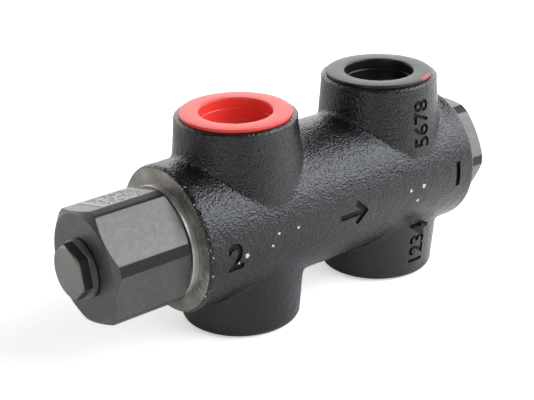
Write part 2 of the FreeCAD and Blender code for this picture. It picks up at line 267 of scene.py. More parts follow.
def place_mesh(piece, matrix):
    """Moves a piece and applies the move, so that its object sits at the origin."""
    piece.matrix_world = matrix @ piece.matrix_world
    pick(piece)
    bpy.ops.object.transform_apply(location=True, rotation=True, scale=True)
    return piece


def join(pieces, name):
    """Joins pieces into the first one."""
    bpy.ops.object.select_all(action="DESELECT")
    for piece in pieces:
        piece.select_set(True)
    bpy.context.view_layer.objects.active = pieces[0]
    bpy.ops.object.join()
    pieces[0].name = name
    return pieces[0]


def flat_direction(degrees):
    """The way that a flat faces, turned from -Y towards +Z."""
    turn = math.radians(degrees)
    return Vector((0, -math.cos(turn), math.sin(turn)))


def paint(piece, material):
    piece.data.materials.clear()
    piece.data.materials.append(material)
    return piece


# -------------------------------------------------- materials

class Sheet:
    """A material's node tree with short ways to add and link nodes."""

    def __init__(self, tree):
        self.tree = tree

    def add(self, kind, **settings):
        node = self.tree.nodes.new(kind)
        for name, value in settings.items():
            setattr(node, name, value)
        return node

    def link(self, source, target):
        self.tree.links.new(source, target)

    def math(self, operation, first, second=None):
        node = self.add("ShaderNodeMath", operation=operation)
        self.feed(node.inputs[0], first)
        if second is not None:
            self.feed(node.inputs[1], second)
        return node.outputs[0]

    def feed(self, socket, value):
        if isinstance(value, bpy.types.NodeSocket):
            self.link(value, socket)
        else:
            socket.default_value = value

    def noise(self, vector, size, detail=2.0, roughness=0.5):
        node = self.add("ShaderNodeTexNoise")
        self.link(vector, node.inputs["Vector"])
        node.inputs["Scale"].default_value = 1 / size
        node.inputs["Detail"].default_value = detail
        node.inputs["Roughness"].default_value = roughness
        return node.outputs["Fac"]

    def ramp(self, value, stops):
        """Maps a value to colours at places from 0 to 1."""
        node = self.add("ShaderNodeValToRGB")
        self.link(value, node.inputs["Fac"])
        elements = node.color_ramp.elements
        while len(elements) < len(stops):
            elements.new(0.5)
        for element, (place, colour) in zip(elements, stops):
            element.position = place
            element.color = (*colour, 1) if isinstance(colour, tuple) else (colour, colour, colour, 1)
        return node.outputs["Color"]

    def span(self, value, low, high):
        """Maps 0..1 to low..high."""
        node = self.add("ShaderNodeMapRange")
        self.link(value, node.inputs["Value"])
        node.inputs["To Min"].default_value = low
        node.inputs["To Max"].default_value = high
        return node.outputs["Result"]

    def step(self, value, low, high):
        """A soft step from 0 to 1 as a value goes from low to high."""
        node = self.add("ShaderNodeMapRange", interpolation_type="SMOOTHSTEP")
        self.link(value, node.inputs["Value"])
        node.inputs["From Min"].default_value = low
        node.inputs["From Max"].default_value = high
        return node.outputs["Result"]

    def mix(self, factor, first, second):
        node = self.add("ShaderNodeMix", data_type="RGBA")
        self.feed(node.inputs["Factor"], factor)
        self.feed(node.inputs[6], first)
        self.feed(node.inputs[7], second)
        return node.outputs[2]

    def bump(self, height, depth, strength=1.0, under=None):
        node = self.add("ShaderNodeBump")
        self.link(height, node.inputs["Height"])
        node.inputs["Distance"].default_value = depth
        node.inputs["Strength"].default_value = strength
        if under is not None:
            self.link(under, node.inputs["Normal"])
        return node.outputs["Normal"]

    def place(self):
        return self.add("ShaderNodeTexCoord").outputs["Object"]


def group_sheet(name, inputs, outputs):
    """A node group with float inputs (name, default) and outputs (name, kind)."""
    tree = bpy.data.node_groups.new(name, "ShaderNodeTree")
    for socket, default in inputs:
        made = tree.interface.new_socket(socket, in_out="INPUT", socket_type="NodeSocketFloat")
        made.default_value = default
    for socket, kind in outputs:
        tree.interface.new_socket(socket, in_out="OUTPUT", socket_type=kind)
    sheet = Sheet(tree)
    ends = sheet.add("NodeGroupInput"), sheet.add("NodeGroupOutput")
    return sheet, ends[0].outputs, ends[1].inputs


def grain_group():
    """Two sizes of grain as a height for bumps, and a slow tone for colour and gloss."""
    sheet, given, out = group_sheet(
        "grain",
        [("Coarse per metre", 900.0), ("Fine per metre", 3200.0), ("Coarse share", 0.6)],
        [("Height", "NodeSocketFloat"), ("Tone", "NodeSocketFloat")],
    )
    place = sheet.place()
    layers = []
    for rate in ("Coarse per metre", "Fine per metre"):
        node = sheet.add("ShaderNodeTexNoise")
        node.inputs["Detail"].default_value = 1.0
        node.inputs["Roughness"].default_value = 0.5
        sheet.link(place, node.inputs["Vector"])
        sheet.link(given[rate], node.inputs["Scale"])
        layers.append(node.outputs["Fac"])
    coarse = sheet.math("MULTIPLY", layers[0], given["Coarse share"])
    rest = sheet.math("SUBTRACT", 1.0, given["Coarse share"])
    fine = sheet.math("MULTIPLY", layers[1], rest)
    sheet.link(sheet.math("ADD", coarse, fine), out["Height"])
    sheet.link(sheet.noise(place, 22 * MM, 4.0, 0.6), out["Tone"])
    return sheet.tree


def lathe_group():
    """Fine rings about the valve's axis, as a lathe tool leaves them on a faced end or a turned bore."""
    sheet, given, out = group_sheet(
        "lathe rings",
        [("Rings per metre", 2600.0)],
        [("Height", "NodeSocketFloat"), ("Tone", "NodeSocketFloat")],
    )
    place = sheet.place()
    parts = sheet.add("ShaderNodeSeparateXYZ")
    sheet.link(place, parts.inputs[0])
    high = sheet.math("SUBTRACT", parts.outputs["Z"], AXIS_Z)
    across = sheet.math("MULTIPLY", parts.outputs["Y"], parts.outputs["Y"])
    upright = sheet.math("MULTIPLY", high, high)
    radius = sheet.math("SQRT", sheet.math("ADD", across, upright))
    path = sheet.math("ADD", radius, parts.outputs["X"])
    scaled = sheet.math("MULTIPLY", path, given["Rings per metre"])
    node = sheet.add("ShaderNodeTexNoise", noise_dimensions="1D")
    sheet.link(scaled, node.inputs["W"])
    node.inputs["Scale"].default_value = 1.0
    node.inputs["Detail"].default_value = 3.0
    sheet.link(node.outputs["Fac"], out["Height"])
    sheet.link(sheet.noise(place, 6 * MM, 3.0, 0.6), out["Tone"])
    return sheet.tree


def new_material(name, **constants):
    """A material with its Principled shader's plain values set, with its sheet and its shader."""
    material = bpy.data.materials.new(name)
    material.use_nodes = True
    shader = material.node_tree.nodes["Principled BSDF"]
    for socket, value in constants.items():
        shader.inputs[socket.replace("_", " ")].default_value = value
    return material, Sheet(material.node_tree), shader


def use_group(sheet, tree, **values):
    node = sheet.add("ShaderNodeGroup")
    node.node_tree = tree
    for socket, value in values.items():
        node.inputs[socket.replace("_", " ")].default_value = value
    return node.outputs


GRAIN = grain_group()
LATHE = lathe_group()

# Width of the worn rim, and how much of the ragged edge a chip takes in
RIM_WEAR_WIDTH = 1.3 * MM
CHIP_EDGE = 0.72

# The dab of red paint on the black plug, turned from +X towards -Y, with half its spread in radians
DAB_TURN = math.radians(67)
DAB_HALF_SPREAD = 0.26
DAB_INNER_R = 15.6 * MM
DAB_LOWEST = TOP_FACE + 0.35 * MM

# Places of small chips in the paint, as (x, degrees from -Y towards +Z, radius), in mm
CHIPS = [
    (40.7, 1.6, 0.45),
    (38.4, -9.6, 0.30),
    (35.3, 1.3, 0.28),
    (-9.7, 5.2, 0.22),
    (-16.7, 5.9, 0.20),
    (-19.2, -2.1, 0.22),
    (-28.3, -2.6, 0.50),
    (-31.7, -6.2, 0.55),
]


def chip_mask(sheet, place):
    """1 inside each chip, whose outline is ragged."""
    ragged = sheet.math("MULTIPLY", sheet.noise(place, 0.7 * MM, 3.0, 0.7), 1.0 * MM)
    mask = None
    for x, angle, radius in CHIPS:
        centre = Vector((x * MM, 0, AXIS_Z)) + flat_direction(angle) * BARREL_R
        node = sheet.add("ShaderNodeVectorMath", operation="DISTANCE")
        sheet.link(place, node.inputs[0])
        node.inputs[1].default_value = centre
        reach = sheet.math("ADD", node.outputs["Value"], ragged)
        inside = sheet.math("LESS_THAN", reach, (radius + CHIP_EDGE) * MM)
        mask = inside if mask is None else sheet.math("MAXIMUM", mask, inside)
    return mask


def rim_wear(sheet, place):
    """1 on small chips along the rim beside the spring cap."""
    parts = sheet.add("ShaderNodeSeparateXYZ")
    sheet.link(place, parts.inputs[0])
    near_rim = sheet.math("LESS_THAN", parts.outputs["X"], BODY_LOW.x + RIM_WEAR_WIDTH)
    specks = sheet.math("GREATER_THAN", sheet.noise(place, 0.9 * MM, 3.0, 0.7), 0.64)
    return sheet.math("MULTIPLY", near_rim, specks)


def mark_painted_shade():
    """The same enamel in the sunk marks, duller, and darker as painted shade for the shadow inside the
    strokes.
    """
    material, sheet, shader = new_material("mark_painted_shade", Specular_IOR_Level=0.25)
    grain = use_group(sheet, GRAIN, Coarse_per_metre=1250.0, Fine_per_metre=2700.0, Coarse_share=0.6)
    # painted shade: the marks' enamel is darker than the casting's, standing for the shadow inside the sunk
    # strokes
    sheet.link(sheet.ramp(grain["Tone"], [(0.3, 0.003), (0.7, 0.006)]), shader.inputs["Base Color"])
    sheet.link(sheet.span(grain["Tone"], 0.5, 0.65), shader.inputs["Roughness"])
    sheet.link(sheet.bump(grain["Height"], 0.4 * MM, 1.0), shader.inputs["Normal"])
    return material


def painted_iron():
    """Black enamel over sand-cast iron: lumpy, half gloss, a little dust, and chips that show pale."""
    material, sheet, shader = new_material("painted_iron", Specular_IOR_Level=0.5, IOR=1.5)
    place = sheet.place()
    grain = use_group(sheet, GRAIN, Coarse_per_metre=1500.0, Fine_per_metre=2900.0, Coarse_share=0.8)
    enamel = sheet.ramp(grain["Tone"], [(0.3, (0.004, 0.004, 0.0045)), (0.7, (0.008, 0.008, 0.0085))])
    dust = sheet.step(sheet.noise(place, 1.1 * MM, 3.0, 0.6), 0.62, 0.80)
    dusty = sheet.mix(sheet.math("MULTIPLY", dust, 0.35), enamel, (0.09, 0.09, 0.095, 1))
    chips = sheet.math("MAXIMUM", chip_mask(sheet, place), rim_wear(sheet, place))
    sheet.link(sheet.mix(chips, dusty, (0.62, 0.61, 0.58, 1)), shader.inputs["Base Color"])
    gloss = sheet.span(grain["Tone"], 0.20, 0.30)
    sheet.link(sheet.math("MAXIMUM", gloss, sheet.math("MULTIPLY", chips, 0.8)), shader.inputs["Roughness"])
    sheet.link(sheet.bump(grain["Height"], 0.38 * MM, 1.0), shader.inputs["Normal"])
    return material


def machined_iron():
    """Bare machined iron with tool rings, a little tarnished."""
    material, sheet, shader = new_material("machined_iron", Metallic=0.9)
    rings = use_group(sheet, LATHE, Rings_per_metre=3000.0)
    metal = sheet.ramp(rings["Tone"], [(0.3, (0.21, 0.19, 0.165)), (0.7, (0.42, 0.40, 0.36))])
    sheet.link(metal, shader.inputs["Base Color"])
    sheet.link(sheet.span(rings["Height"], 0.30, 0.52), shader.inputs["Roughness"])
    sheet.link(sheet.bump(rings["Height"], 0.05 * MM, 0.6), shader.inputs["Normal"])
    return material


def steel_mottle(name, low, high):
    """A dark steel's material, with its colour before any painted shade is mixed in."""
    material, sheet, shader = new_material(name, Metallic=0.6, Specular_IOR_Level=0.5)
    place = sheet.place()
    grain = use_group(sheet, GRAIN, Coarse_per_metre=1800.0, Fine_per_metre=7000.0, Coarse_share=0.4)
    darkest, lightest = [(tone * 1.02, tone, tone * 0.92) for tone in (low, high)]
    base = sheet.ramp(grain["Tone"], [(0.3, darkest), (0.7, lightest)])
    cloud = sheet.step(sheet.noise(place, 1.6 * MM, 3.0, 0.65), 0.42, 0.68)
    mottled = sheet.mix(sheet.math("MULTIPLY", cloud, 0.22), base, (0.19, 0.188, 0.175, 1))
    sheet.link(sheet.span(grain["Tone"], 0.22, 0.36), shader.inputs["Roughness"])
    sheet.link(sheet.bump(grain["Height"], 0.07 * MM, 1.0), shader.inputs["Normal"])
    return material, sheet, shader, mottled


def phosphated_steel():
    """Dark phosphated and oiled steel. The hexagons' turned corners are painted near black, as painted
    shade for the dark surroundings that they mirror.
    """
    material, sheet, shader, mottled = steel_mottle("phosphated_steel", 0.078, 0.116)
    parts = sheet.add("ShaderNodeSeparateXYZ")
    sheet.link(sheet.place(), parts.inputs[0])
    high = sheet.math("POWER", sheet.math("SUBTRACT", parts.outputs["Z"], AXIS_Z), 2.0)
    radius = sheet.math("SQRT", sheet.math("ADD", high, sheet.math("POWER", parts.outputs["Y"], 2.0)))
    # painted shade: the colour goes near black on the turned corners of the hexagons
    corner = sheet.step(radius, HEX_TURNED_R - 0.12 * MM, HEX_TURNED_R - 0.06 * MM)
    painted_light_mix = sheet.mix(sheet.math("MULTIPLY", corner, 0.9), mottled, (0.012, 0.011, 0.010, 1))
    sheet.link(painted_light_mix, shader.inputs["Base Color"])
    return material


def signal_steel_painted_light():
    """The same steel on the signal plug, painted lighter as painted highlight on its face and collar, and
    near black on its flats as painted shade.
    """
    # painted highlight: the cap's steel is made much lighter here, for the light that the plug's face and
    # collar catch
    material, sheet, shader, mottled = steel_mottle("signal_steel_painted_light", 0.19, 0.26)
    parts = sheet.add("ShaderNodeSeparateXYZ")
    sheet.link(sheet.place(), parts.inputs[0])
    behind_face = sheet.step(parts.outputs["X"], SIGNAL_LOW.x + 0.35 * MM, SIGNAL_LOW.x + 0.55 * MM)
    before_collar = sheet.math("LESS_THAN", parts.outputs["X"], CAP_LOW.x - SIGNAL_COLLAR_TOP - 0.2 * MM)
    # painted shade: the hexagon between the face and the collar is darkened to near black
    flats = sheet.math("MULTIPLY", behind_face, before_collar)
    painted_light_mix = sheet.mix(sheet.math("MULTIPLY", flats, 0.93), mottled, (0.010, 0.010, 0.009, 1))
    sheet.link(painted_light_mix, shader.inputs["Base Color"])
    return material


def zinc_steel():
    """Bright zinc on the seal rings."""
    material, sheet, shader = new_material("zinc_steel", Metallic=0.7)
    rings = use_group(sheet, LATHE, Rings_per_metre=2000.0)
    metal = sheet.ramp(rings["Tone"], [(0.3, (0.58, 0.57, 0.55)), (0.7, (0.78, 0.77, 0.75))])
    sheet.link(metal, shader.inputs["Base Color"])
    sheet.link(sheet.span(rings["Tone"], 0.24, 0.42), shader.inputs["Roughness"])
    sheet.link(sheet.bump(rings["Height"], 0.03 * MM, 0.5), shader.inputs["Normal"])
    return material


def ground_steel(name="ground_steel", low=0.42, high=0.55, rough=0.22):
    """Hardened and ground steel of the inner parts."""
    material, sheet, shader = new_material(name, Metallic=1.0)
    rings = use_group(sheet, LATHE, Rings_per_metre=5000.0)
    metal = sheet.ramp(rings["Tone"], [(0.3, low), (0.7, high)])
    sheet.link(metal, shader.inputs["Base Color"])
    sheet.link(sheet.span(rings["Tone"], rough, rough + 0.12), shader.inputs["Roughness"])
    sheet.link(sheet.bump(rings["Height"], 0.02 * MM, 0.5), shader.inputs["Normal"])
    return material


def plastic(name, low, high, rough):
    """Moulded plastic with a fine mould grain and faint flow tone."""
    material, sheet, shader = new_material(name, IOR=1.48, Specular_IOR_Level=0.5)
    grain = use_group(sheet, GRAIN, Coarse_per_metre=500.0, Fine_per_metre=4200.0, Coarse_share=0.5)
    sheet.link(sheet.ramp(grain["Tone"], [(0.3, low), (0.7, high)]), shader.inputs["Base Color"])
    sheet.link(sheet.span(grain["Tone"], rough, rough + 0.12), shader.inputs["Roughness"])
    sheet.link(sheet.bump(grain["Height"], 0.03 * MM, 0.5), shader.inputs["Normal"])
    return material


def dab_mask(sheet, place):
    """1 on a ragged touch of red paint, on the outer edge of the black plug's flange."""
    offset = sheet.add("ShaderNodeVectorMath", operation="SUBTRACT")
    sheet.link(place, offset.inputs[0])
    offset.inputs[1].default_value = (X_P, 0, 0)
    parts = sheet.add("ShaderNodeSeparateXYZ")
    sheet.link(offset.outputs[0], parts.inputs[0])
    turn = sheet.math("ARCTAN2", parts.outputs["Y"], parts.outputs["X"])
    across = sheet.math("POWER", parts.outputs["X"], 2.0)
    deep = sheet.math("POWER", parts.outputs["Y"], 2.0)
    radius = sheet.math("SQRT", sheet.math("ADD", across, deep))
    ragged = sheet.noise(place, 0.9 * MM, 2.0)
    from_middle = sheet.math("ABSOLUTE", sheet.math("ADD", turn, DAB_TURN))
    reach = sheet.math("ADD", from_middle, sheet.math("MULTIPLY", ragged, 0.12))
    inner = sheet.math("ADD", radius, sheet.math("MULTIPLY", ragged, 0.9 * MM))
    near = sheet.math("LESS_THAN", reach, DAB_HALF_SPREAD)
    outside = sheet.math("GREATER_THAN", inner, DAB_INNER_R)
    above = sheet.math("GREATER_THAN", parts.outputs["Z"], DAB_LOWEST)
    return sheet.math("MULTIPLY", near, sheet.math("MULTIPLY", outside, above))


def black_plastic():
    """The black plug's plastic, with the dab of red paint on its rim."""
    material = plastic("black_plastic", (0.005, 0.005, 0.005), (0.009, 0.009, 0.009), 0.30)
    sheet = Sheet(material.node_tree)
    shader = material.node_tree.nodes["Principled BSDF"]
    plain = shader.inputs["Base Color"].links[0].from_socket
    dab = dab_mask(sheet, sheet.place())
    sheet.link(sheet.mix(dab, plain, (0.45, 0.02, 0.025, 1)), shader.inputs["Base Color"])
    return material


def nitrile_rubber():
    material, sheet, shader = new_material("nitrile_rubber", Specular_IOR_Level=0.4)
    grain = use_group(sheet, GRAIN, Coarse_per_metre=1500.0, Fine_per_metre=6000.0, Coarse_share=0.5)
    base = sheet.ramp(grain["Tone"], [(0.3, 0.012), (0.7, 0.022)])
    sheet.link(base, shader.inputs["Base Color"])
    sheet.link(sheet.span(grain["Tone"], 0.55, 0.7), shader.inputs["Roughness"])
    sheet.link(sheet.bump(grain["Height"], 0.03 * MM, 0.5), shader.inputs["Normal"])
    return material


def label_film(centre, along, across):
    """White film with rows of random dots that say nothing, printed in grey."""
    material, sheet, shader = new_material("label_film", Specular_IOR_Level=0.4)
    place = sheet.place()
    offset = sheet.add("ShaderNodeVectorMath", operation="SUBTRACT")
    sheet.link(place, offset.inputs[0])
    offset.inputs[1].default_value = centre
    axes = []
    for way in (along, across):
        dot = sheet.add("ShaderNodeVectorMath", operation="DOT_PRODUCT")
        sheet.link(offset.outputs[0], dot.inputs[0])
        dot.inputs[1].default_value = way
        axes.append(dot.outputs["Value"])
    columns = sheet.math("FLOOR", sheet.math("DIVIDE", axes[0], LABEL_CELL))
    rows = sheet.math("FLOOR", sheet.math("DIVIDE", axes[1], LABEL_CELL))
    joined = sheet.add("ShaderNodeCombineXYZ")
    sheet.link(columns, joined.inputs[0])
    sheet.link(rows, joined.inputs[1])
    random = sheet.add("ShaderNodeTexWhiteNoise", noise_dimensions="2D")
    sheet.link(joined.outputs[0], random.inputs["Vector"])
    dots = sheet.math("GREATER_THAN", random.outputs["Value"], 0.52)
    inside_along = sheet.math("LESS_THAN", sheet.math("ABSOLUTE", axes[0]), LABEL_PRINT_LENGTH / 2)
    inside_across = sheet.math("LESS_THAN", sheet.math("ABSOLUTE", axes[1]), LABEL_PRINT_WIDTH / 2)
    ink = sheet.math("MULTIPLY", dots, sheet.math("MULTIPLY", inside_along, inside_across))
    film = sheet.ramp(sheet.noise(place, 5 * MM, 3.0), [(0.3, 0.36), (0.7, 0.43)])
    printed = sheet.mix(ink, film, (0.04, 0.04, 0.045, 1))
    sheet.link(printed, shader.inputs["Base Color"])
    sheet.link(sheet.span(sheet.noise(place, 2 * MM, 2.0), 0.38, 0.5), shader.inputs["Roughness"])
    sheet.link(sheet.bump(sheet.noise(place, 1.5 * MM, 2.0), 0.03 * MM, 0.5), shader.inputs["Normal"])
    return material


def studio_floor():
    """Pale floor that glows a little, so that shadows on it stay light. Its front mirrors brighter."""
    material, sheet, shader = new_material("studio_floor", Specular_IOR_Level=0.1)
    place = sheet.place()
    tone = sheet.noise(place, 40 * MM, 3.0)
    path = sheet.add("ShaderNodeLightPath")
    dot = sheet.add("ShaderNodeVectorMath", operation="DOT_PRODUCT")
    sheet.link(place, dot.inputs[0])
    dot.inputs[1].default_value = (0.85, -0.5, 0)
    front = sheet.step(dot.outputs["Value"], 0.02, 0.08)
    mirrored = sheet.math("MULTIPLY", path.outputs["Is Glossy Ray"], sheet.span(front, 0.0, 0.55))
    seen = sheet.math("MULTIPLY", path.outputs["Is Camera Ray"], 0.5)
    shader.inputs["Emission Color"].default_value = (1, 1, 1, 1)
    sheet.link(sheet.math("ADD", seen, mirrored), shader.inputs["Emission Strength"])
    sheet.link(sheet.ramp(tone, [(0.3, 0.90), (0.7, 0.92)]), shader.inputs["Base Color"])
    sheet.link(sheet.span(tone, 0.85, 0.95), shader.inputs["Roughness"])
    return material


# -------------------------------------------------- casting

def rough_barrel():
    """The round body before it is faced: a little long at both ends."""
    near = BODY_LOW.x - NEAR_END_CUT
    far = BODY_HIGH.x + FACING_ALLOWANCE
    outline = [(near, 0)]
    outline += arc(near + NEAR_END_RIM, BARREL_R - NEAR_END_RIM, NEAR_END_RIM, 180, 90)
    outline += arc(far - FAR_END_RIM, BARREL_R - FAR_END_RIM, FAR_END_RIM, 90, 0)
    outline += [(far, 0)]
    return turned("barrel", outline)


def rough_boss(x, upwards):
    """A drafted port boss with its rim rounded."""
    rim = UPPER_RIM if upwards else LOWER_RIM
    height = AXIS_Z
    root_r = BOSS_FACE_R + height * math.tan(BOSS_DRAFT)
    centre_r = BOSS_FACE_R + rim * math.tan(BOSS_DRAFT) - rim / math.cos(BOSS_DRAFT)
    outline = [(0, 0), (0, root_r)]
    outline += arc(height - rim, centre_r, rim, 90 - math.degrees(BOSS_DRAFT), 0)
    outline += [(height, 0)]
    way = 1 if upwards else -1
    return turned("boss", [(AXIS_Z + way * along, radius) for along, radius in outline], "Z", x)


def root_weight(point):
    """1 where a boss runs into the barrel, 0 further than the root's reach from it."""
    from_barrel = abs(math.hypot(point.y, point.z - AXIS_Z) - BARREL_R)
    weight = 0
    for x in (X_T, X_P):
        boss_r = BOSS_FACE_R + (AXIS_Z - abs(point.z - AXIS_Z)) * math.tan(BOSS_DRAFT)
        from_boss = abs(math.hypot(point.x - x, point.y) - boss_r)
        weight = max(weight, 1 - max(from_barrel, from_boss) / BOSS_ROOT)
    return min(1, 2 * weight)


def skin_weight(point):
    """0 on the machined faces, which stay flat, and 1 on the cast skin."""
    away = min(point.z, TOP_FACE - point.z, point.x - BODY_LOW.x, BODY_HIGH.x - point.x)
    return min(1, max(0, (away - FLAT_MARGIN) / SKIN_FADE))


def weigh(piece, name, rule):
    group = piece.vertex_groups.new(name=name)
    for vertex in piece.data.vertices:
        weight = rule(vertex.co)
        if weight > 0:
            group.add([vertex.index], weight, "REPLACE")
    return name


def cast_skin(piece):
    """Gives the joined shapes one skin, runs the roots smoothly together, and adds the sand's texture."""
    remesh = piece.modifiers.new("skin", "REMESH")
    remesh.mode = "VOXEL"
    remesh.voxel_size = SKIN_VOXEL
    pick(piece)
    bpy.ops.object.modifier_apply(modifier=remesh.name)
    roots = piece.modifiers.new("roots", "SMOOTH")
    roots.vertex_group = weigh(piece, "roots", root_weight)
    roots.factor = 0.5
    roots.iterations = 7
    bpy.ops.object.modifier_apply(modifier=roots.name)
    skin = weigh(piece, "skin", skin_weight)
    for name, size, depth in (("swell", 9.0, 0.18), ("lump", 2.2, 0.15)):
        texture = bpy.data.textures.new(name, "CLOUDS")
        texture.noise_scale = size * MM
        texture.noise_depth = 1
        sand = piece.modifiers.new(name, "DISPLACE")
        sand.texture = texture
        sand.texture_coords = "LOCAL"
        sand.vertex_group = skin
        sand.strength = depth * MM
        sand.mid_level = 1.0
        bpy.ops.object.modifier_apply(modifier=sand.name)
    return piece


def port_tool(x, upwards):
    """Everything that is cut from one port face to the gallery, with the thread's grooves."""
    outline = [(-OVERCUT, 0), (-OVERCUT, PORT_R + PORT_CHAMFER + OVERCUT), (PORT_CHAMFER, PORT_R)]
    depth = PORT_CHAMFER + PORT_PITCH / 4
    while depth + PORT_PITCH < PORT_THREAD_END - PORT_PITCH:
        outline += [(depth, PORT_R), (depth + PORT_PITCH * 0.45, PORT_THREAD_R)]
        outline += [(depth + PORT_PITCH * 0.55, PORT_THREAD_R)]
        depth += PORT_PITCH
    outline += [(depth, PORT_R), (PORT_THREAD_END, PORT_R), (PORT_THREAD_END, PORT_DRILL_R)]
    outline += [(AXIS_Z, PORT_DRILL_R), (AXIS_Z, 0)]
    face = TOP_FACE if upwards else 0
    way = -1 if upwards else 1
    corners = [(face + way * along, radius) for along, radius in outline]
    return turned("port tool", corners, "Z", x, COARSE_STEPS)


def axis_tool():
    """Faces both ends and cuts the end threads, galleries and spool bore on the valve's axis."""
    near = BODY_LOW.x
    far = BODY_HIGH.x
    reach = BARREL_R + 4 * MM
    past = 3 * MM
    outline = [
        (near - past, 0),
        (near - past, reach),
        (near, reach),
        (near, END_THREAD_R + END_BORE_CHAMFER),
        (near + END_BORE_CHAMFER, END_THREAD_R),
    ]
    for x in (X_T, X_P):
        outside = END_THREAD_R if x == X_T else BORE_R
        inside = BORE_R if x == X_T else END_THREAD_R
        outline += [(x - GALLERY_HALF, outside), (x - GALLERY_HALF, GALLERY_R)]
        outline += [(x + GALLERY_HALF, GALLERY_R), (x + GALLERY_HALF, inside)]
    outline += [
        (far - END_BORE_CHAMFER, END_THREAD_R),
        (far, END_THREAD_R + END_BORE_CHAMFER),
        (far, reach),
        (far + past, reach),
        (far + past, 0),
    ]
    return turned("axis tool", outline)


def text_mark(body, height, stroke=0.36 * MM):
    """Plain figures as a thick mesh about the origin, reading along +X with +Y up."""
    bpy.ops.object.select_all(action="DESELECT")
    bpy.ops.object.text_add(location=(0, 0, 0))
    mark = bpy.context.object
    mark.data.body = body
    mark.data.size = height
    mark.data.align_x = "CENTER"
    mark.data.align_y = "CENTER"
    mark.data.extrude = MARK_HALF
    mark.data.offset = stroke
    mark.data.resolution_u = 4
    bpy.ops.object.convert(target="MESH")
    mark = bpy.context.object
    bpy.ops.object.mode_set(mode="EDIT")
    bpy.ops.mesh.select_all(action="SELECT")
    bpy.ops.mesh.remove_doubles(threshold=0.004 * MM)
    bpy.ops.object.mode_set(mode="OBJECT")
    return mark


def arrow_mark(length, height, stroke=0.9 * MM):
    """A flow arrow drawn with even strokes, reading along +X."""
    mark = start_vertex("arrow")
    tip = length / 2
    top = height / 2
    slant = stroke * math.sqrt(2)
    half = [(-tip, stroke), (tip - 2 * slant - stroke, stroke)]
    half += [(tip - top - slant, top - slant), (tip - top, top)]
    points = half + [(tip, 0)] + [(x, -y) for x, y in reversed(half)]
    draw_line([Vector((x, y, -MARK_HALF)) for x, y in points])
    bpy.ops.mesh.select_all(action="SELECT")
    bpy.ops.mesh.edge_face_add()
    bpy.ops.mesh.extrude_region_move(TRANSFORM_OT_translate={"value": (0, 0, 2 * MARK_HALF)})
    bpy.ops.mesh.select_all(action="SELECT")
    bpy.ops.mesh.normals_make_consistent(inside=False)
    bpy.ops.object.mode_set(mode="OBJECT")
    return mark


def sink_in_barrel(mark, x, angle):
    """Wraps a flat mark on to the barrel so that it cuts MARK_DEPTH deep."""
    for vertex in mark.data.vertices:
        along, up, out = vertex.co
        turn = math.degrees(up / BARREL_R) + angle
        depth = BARREL_R + (OVERCUT if out > 0 else -MARK_DEPTH)
        vertex.co = Vector((x + along, 0, AXIS_Z)) + flat_direction(turn) * depth
    return mark


def sink_in_boss(mark, x, z, angle):
    """Wraps a mark, turned to read upwards, on to a boss."""
    for vertex in mark.data.vertices:
        along, up, out = vertex.co
        high = z + along
        boss_r = BOSS_FACE_R + (AXIS_Z - abs(high - AXIS_Z)) * math.tan(BOSS_DRAFT)
        turn = math.radians(angle) - up / BOSS_FACE_R
        reach = boss_r + (OVERCUT if out > 0 else -MARK_DEPTH)
        vertex.co = Vector((x + reach * math.sin(turn), -reach * math.cos(turn), high))
    return mark


def casting_marks():
    """Foundry marks made plain: port numbers, a flow arrow and counting figures on the bosses."""
    return [
        sink_in_barrel(text_mark("2", BARREL_FIGURE), -32.0 * MM, -2),
        sink_in_barrel(arrow_mark(BARREL_FIGURE, 8 * MM), 12.0 * MM, -1),
        sink_in_barrel(text_mark("1", BARREL_FIGURE), 56.0 * MM, 0),
        sink_in_boss(text_mark("1234", BOSS_FIGURE, BOSS_STROKE), X_P, 11.3 * MM, 1),
        sink_in_boss(text_mark("5678", BOSS_FIGURE, BOSS_STROKE), X_P, 51.5 * MM, 2),
    ]


def casting(skin, bare, sunk):
    """The painted casting, with bare bores and faces and its marks sunk."""
    rough = [rough_barrel()]
    for x in (X_T, X_P):
        rough += [rough_boss(x, True), rough_boss(x, False)]
    body = paint(cast_skin(join(rough, "casting")), skin)
    tool = paint(axis_tool(), bare)
    for x in (X_T, X_P):
        for upwards in (True, False):
            boolean(tool, paint(port_tool(x, upwards), bare), "UNION")
    marks = [paint(mark, sunk) for mark in casting_marks()]
    boolean(body, join([tool] + marks, "cutters"), "DIFFERENCE")
    body.vertex_groups.clear()
    return smooth(body, 40)


# -------------------------------------------------- turned parts

def hexagon(name, x_from, x_to, across_flats, flat_angle):
    """A six-sided bar on the valve's axis."""
    bpy.ops.object.select_all(action="DESELECT")
    corner_r = across_flats / 2 / math.cos(math.radians(30))
    bpy.ops.mesh.primitive_cylinder_add(vertices=6, radius=corner_r, depth=abs(x_to - x_from))
    bar = bpy.context.object
    bar.name = name
    bar.data.name = name
    corner = flat_direction(flat_angle + 30)
    turn = Matrix((Vector((1, 0, 0)), corner, Vector((1, 0, 0)).cross(corner))).transposed()
    stand = Matrix(((0, 0, 1), (0, 1, 0), (-1, 0, 0)))
    place = Matrix.Translation(((x_from + x_to) / 2, 0, AXIS_Z)) @ (turn @ stand).to_4x4()
    place_mesh(bar, place)
    return bar


def chamfered(bar, x_root, x_end, turned_r, root_r, face_r):
    """Turns the corners of a six-sided bar round, chamfered to root_r at x_root and face_r at x_end."""
    slope = math.copysign(math.tan(HEX_CHAMFER), x_root - x_end)
    outline = [(x_root, 0), (x_root, root_r)]
    if root_r < turned_r:
        outline.append((x_root - (turned_r - root_r) * slope, turned_r))
    outline += [(x_end + (turned_r - face_r) * slope, turned_r), (x_end, face_r), (x_end, 0)]
    return boolean(bar, turned("envelope", outline), "INTERSECT")


